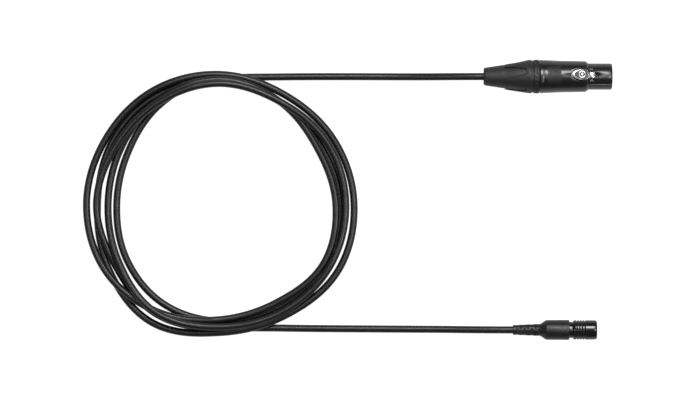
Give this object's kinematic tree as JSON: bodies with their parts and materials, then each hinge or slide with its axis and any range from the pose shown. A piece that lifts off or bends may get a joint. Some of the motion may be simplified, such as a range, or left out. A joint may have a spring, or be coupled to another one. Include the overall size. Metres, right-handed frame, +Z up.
{
  "type": "xlr cable coil",
  "caption": "Black microphone cable wound in a loose flat coil, with a latching XLR socket on one lead and a small pull-to-unlock connector on the other.",
  "frame": {"origin": "middle of the whole object's footprint, on the surface it lies on", "axes": "+Z up, +X from the coil towards both connectors, +Y towards the XLR's side"},
  "size_m": [0.3184, 0.1686, 0.0204],
  "materials": {
    "cable_jacket": "satin",
    "rubber_boot": "matte",
    "bushing_plastic": "satin",
    "ring_plastic": "satin",
    "nylon": "satin",
    "black_metal": "satin",
    "gloss_black_metal": "gloss",
    "neck_metal": "satin",
    "silver_metal": "satin",
    "spring_steel": "satin",
    "insert_plastic": "matte",
    "contact_silver": "gloss",
    "contact_gold": "gloss",
    "core_red": "satin",
    "core_white": "satin",
    "copper": "satin",
    "rubber_grip": "matte"
  },
  "bodies": {
    "cable_assembly": {"cable_coil": "cable_jacket", "cable_lead_xlr": "cable_jacket", "cable_lead_mini": "cable_jacket", "xlr_boot": "rubber_boot", "xlr_bushing": "bushing_plastic", "xlr_coding_ring": "ring_plastic", "xlr_chuck": "nylon", "xlr_shell": "black_metal", "xlr_latch_pin": "spring_steel", "xlr_latch_spring": "spring_steel", "xlr_insert": "insert_plastic", "xlr_contact_1": "contact_silver", "xlr_contact_2": "contact_silver", "xlr_contact_3": "contact_silver", "xlr_earth_tab": "contact_silver", "xlr_core_hot": "core_red", "xlr_core_cold": "core_white", "xlr_drain_wire": "copper", "mini_boot": "rubber_grip", "mini_barrel": "neck_metal", "mini_ring_spring": "spring_steel", "mini_retaining_clip": "spring_steel", "mini_insert": "insert_plastic", "mini_contact_1": "contact_gold", "mini_contact_2": "contact_gold", "mini_contact_3": "contact_gold", "mini_crimp_sleeve": "spring_steel", "mini_core_hot": "core_red", "mini_core_cold": "core_white", "mini_drain_wire": "copper"},
    "latch": {"xlr_latch": "silver_metal"},
    "coupling_ring": {"mini_coupling_ring": "gloss_black_metal"}
  },
  "joints": [
    {"name": "latch_press", "type": "hinge", "parent": "cable_assembly", "child": "latch", "pos_m": [0.1326, 0.0748, 0.01636], "axis": [0, 0.9936, -0.1132], "range_deg": [0, 4], "stiffness_Nm_per_rad": 1.4, "springref_deg": -1.72, "deforming": ["xlr_latch_spring"]},
    {"name": "coupling_ring_slide", "type": "slide", "parent": "cable_assembly", "child": "coupling_ring", "axis": [-1, 0, 0], "range_m": [0, 0.002], "stiffness_N_per_m": 2000, "springref_m": -0.001, "deforming": ["mini_ring_spring"]}
  ]
}
